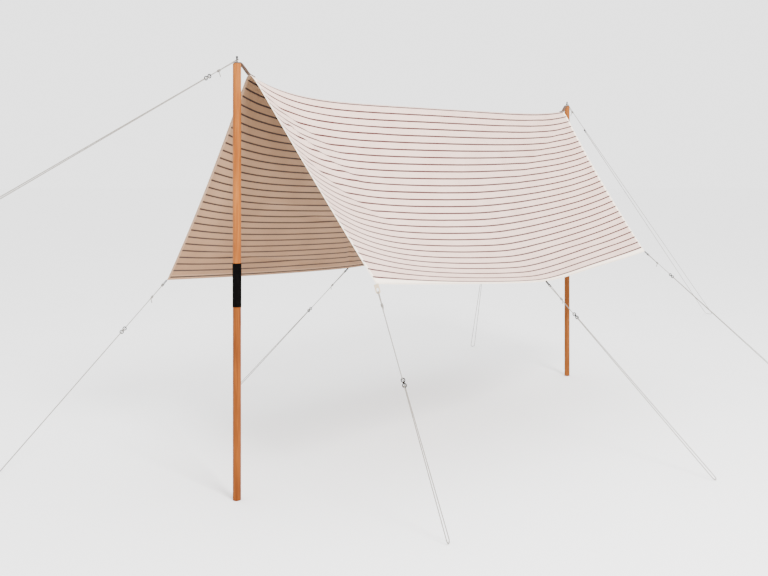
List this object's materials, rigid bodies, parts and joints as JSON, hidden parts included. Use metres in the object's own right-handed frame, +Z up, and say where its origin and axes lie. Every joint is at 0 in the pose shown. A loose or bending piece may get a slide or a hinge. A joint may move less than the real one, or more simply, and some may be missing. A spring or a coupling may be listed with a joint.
{
  "type": "ridge canopy tent",
  "caption": "Ridge-shaped canvas sun canopy hung between wooden poles and held open by guy lines from its corners, edges and pole tops.",
  "frame": {"origin": "on the ground, midway between the feet of the poles", "axes": "+Z up, +Y along the ridge from the near pole to the far pole, +X towards the front slope"},
  "size_m": [3.264, 10.5638, 2.034],
  "materials": {
    "canvas": "plain woven cotton canvas with thin reddish brown stripes along the ridge",
    "webbing": "woven cotton webbing",
    "guy_cord": "braided off-white cord",
    "oiled_wood": "oiled, straight grain along the pole",
    "black_sleeve": "satin black",
    "bright_steel": "zinc plated"
  },
  "bodies": {
    "root": {"canopy": "canvas", "near_pole_lower": "oiled_wood", "near_pole_upper": "oiled_wood", "near_pole_sleeve": "black_sleeve", "near_pole_spike": "bright_steel", "near_ridge_loop": "webbing", "far_pole_lower": "oiled_wood", "far_pole_upper": "oiled_wood", "far_pole_sleeve": "black_sleeve", "far_pole_spike": "bright_steel", "far_ridge_loop": "webbing", "front_near_loop": "webbing", "front_middle_loop": "webbing", "front_far_loop": "webbing", "back_near_loop": "webbing", "back_middle_loop": "webbing", "back_far_loop": "webbing", "near_ridge_guy": "guy_cord", "near_ridge_slider": "bright_steel", "far_ridge_guy": "guy_cord", "far_ridge_slider": "bright_steel", "front_near_guy": "guy_cord", "front_near_slider": "bright_steel", "front_middle_guy": "guy_cord", "front_middle_slider": "bright_steel", "front_far_guy": "guy_cord", "front_far_slider": "bright_steel", "back_near_guy": "guy_cord", "back_near_slider": "bright_steel", "back_middle_guy": "guy_cord", "back_middle_slider": "bright_steel", "back_far_guy": "guy_cord", "back_far_slider": "bright_steel"}
  },
  "joints": []
}
